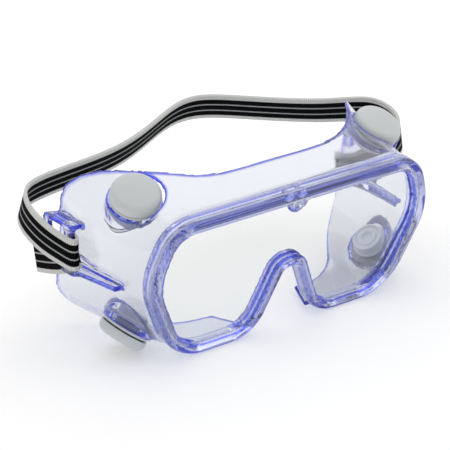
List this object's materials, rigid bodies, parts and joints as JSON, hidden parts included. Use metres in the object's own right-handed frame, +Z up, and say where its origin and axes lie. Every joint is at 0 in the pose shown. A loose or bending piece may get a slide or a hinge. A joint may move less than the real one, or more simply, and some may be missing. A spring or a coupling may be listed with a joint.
{
  "type": "safety goggles",
  "caption": "Clear splash goggles with a soft one-piece frame, flat lens, capped round vents, moulded strap lugs and a striped elastic headband.",
  "frame": {"origin": "on the surface the goggles stand on, in their middle plane, under the middle of the lens", "axes": "+X across to the right as seen from the front, -Y out of the front of the lens, +Z up"},
  "size_m": [0.2158, 0.1377, 0.0846],
  "materials": {
    "clear_vinyl": "clear soft vinyl with a blue-violet tint at its thick edges",
    "clear_lens": "clear polished",
    "vent_plastic": "satin moulded, pale grey",
    "baffle_plastic": "satin moulded, translucent white",
    "striped_elastic": "woven elastic, black stripes between pale grey lines and off-white edges"
  },
  "bodies": {
    "frame": {"face_frame": "clear_vinyl", "lens": "clear_lens", "left_strap_end": "striped_elastic", "right_strap_end": "striped_elastic", "upper_left_vent_collar": "vent_plastic", "upper_left_vent_baffle": "baffle_plastic", "upper_right_vent_collar": "vent_plastic", "upper_right_vent_baffle": "baffle_plastic", "lower_left_vent_collar": "vent_plastic", "lower_left_vent_baffle": "baffle_plastic", "lower_right_vent_collar": "vent_plastic", "lower_right_vent_baffle": "baffle_plastic"},
    "headband": {"headband": "striped_elastic"},
    "upper_left_cap": {"upper_left_vent_cap": "vent_plastic"},
    "upper_right_cap": {"upper_right_vent_cap": "vent_plastic"},
    "lower_left_cap": {"lower_left_vent_cap": "vent_plastic"},
    "lower_right_cap": {"lower_right_vent_cap": "vent_plastic"}
  },
  "joints": [
    {"name": "headband_swing", "type": "hinge", "parent": "frame", "child": "headband", "pos_m": [0.09, 0.046, 0.047], "axis": [1, 0, 0], "range_deg": [-20, 40]},
    {"name": "upper_left_cap_pull", "type": "slide", "parent": "frame", "child": "upper_left_cap", "axis": [-0.1407, -0.4825, 0.8645], "range_m": [0, 0.01]},
    {"name": "upper_right_cap_pull", "type": "slide", "parent": "frame", "child": "upper_right_cap", "axis": [0.1407, -0.4825, 0.8645], "range_m": [0, 0.01]},
    {"name": "lower_left_cap_pull", "type": "slide", "parent": "frame", "child": "lower_left_cap", "axis": [-0.5981, 0.0797, -0.7975], "range_m": [0, 0.01]},
    {"name": "lower_right_cap_pull", "type": "slide", "parent": "frame", "child": "lower_right_cap", "axis": [0.5981, 0.0797, -0.7975], "range_m": [0, 0.01]}
  ]
}
